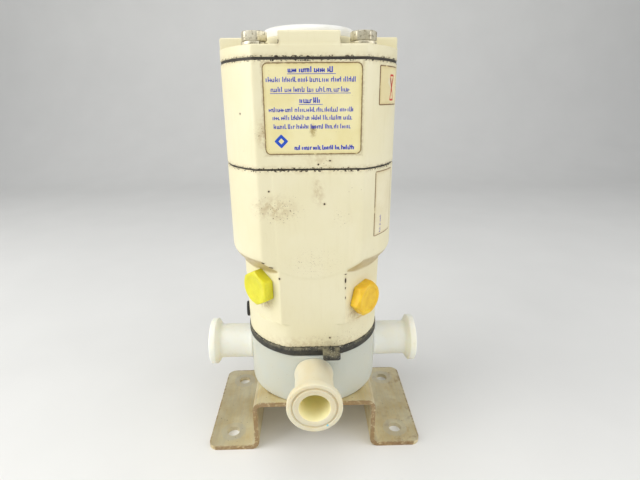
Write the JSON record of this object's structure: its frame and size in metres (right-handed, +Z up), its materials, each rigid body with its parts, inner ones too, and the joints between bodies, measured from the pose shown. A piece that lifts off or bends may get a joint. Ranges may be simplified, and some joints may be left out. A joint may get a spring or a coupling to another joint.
{
  "type": "diaphragm valve",
  "caption": "Pneumatic three-port diaphragm valve: plastic body with clamp ferrules on a steel hat bracket, under a stacked round actuator that lifts each half of one diaphragm.",
  "frame": {"origin": "centre of the base bolt pattern, on the floor plane under the bracket's feet", "axes": "+Z up along the actuator; -Y along the front port; +X along the right port"},
  "size_m": [0.1524, 0.1243, 0.276],
  "materials": {
    "bracket_steel": "worn, lightly rusted",
    "white_polymer": "semi-translucent, satin",
    "cream_polymer": "semi-translucent, satin",
    "black_rubber": "matt, dusty",
    "cream_paint": "powder coat, satin, worn",
    "gasket": "matt",
    "white_cap": "satin",
    "bolt_steel": "tarnished",
    "lime_plastic": "satin",
    "amber_plastic": "satin",
    "black_plastic": "matt",
    "bronze": "plain",
    "spring_steel": "oiled",
    "stainless": "ground",
    "piston_aluminium": "machined",
    "label_film": "printed film, satin",
    "label_paper": "faded film"
  },
  "bodies": {
    "valve": {"bracket": "bracket_steel", "valve_body": "white_polymer", "left_spigot": "cream_polymer", "right_spigot": "cream_polymer", "front_spigot": "cream_polymer", "diaphragm": "black_rubber", "lower_housing": "cream_paint", "housing_gasket": "gasket", "upper_housing": "cream_paint", "cover_gasket": "gasket", "top_cover": "cream_paint", "cover_cap": "white_cap", "cover_bolts": "bolt_steel", "spring_washers": "bolt_steel", "body_screws": "bolt_steel", "body_washers": "bolt_steel", "air_plug_left": "lime_plastic", "air_plug_right": "amber_plastic", "plug_seals": "black_rubber", "vent_plug": "black_plastic", "neck_bushes": "bronze", "neck_rod_seals": "black_rubber", "partition_bush": "bronze", "partition_rod_seal": "black_rubber", "lower_spring": "spring_steel", "upper_spring": "spring_steel", "front_label": "label_film", "upper_side_label": "label_film", "lower_side_label": "label_paper"},
    "left_stem": {"left_rod": "stainless", "left_compressor": "piston_aluminium", "left_rod_nuts": "stainless", "lower_piston": "piston_aluminium", "lower_piston_seal": "black_rubber", "rod_pass_seal": "black_rubber"},
    "right_stem": {"right_rod": "stainless", "right_compressor": "piston_aluminium", "right_rod_nuts": "stainless", "upper_piston": "piston_aluminium", "upper_piston_seal": "black_rubber"}
  },
  "joints": [
    {"name": "left_stem_lift", "type": "slide", "parent": "valve", "child": "left_stem", "axis": [0, 0, 1], "range_m": [0, 0.006], "stiffness_N_per_m": 12500, "springref_m": -0.02, "deforming": ["lower_spring"]},
    {"name": "right_stem_lift", "type": "slide", "parent": "valve", "child": "right_stem", "axis": [0, 0, 1], "range_m": [0, 0.006], "stiffness_N_per_m": 12500, "springref_m": -0.02, "deforming": ["upper_spring"]}
  ]
}
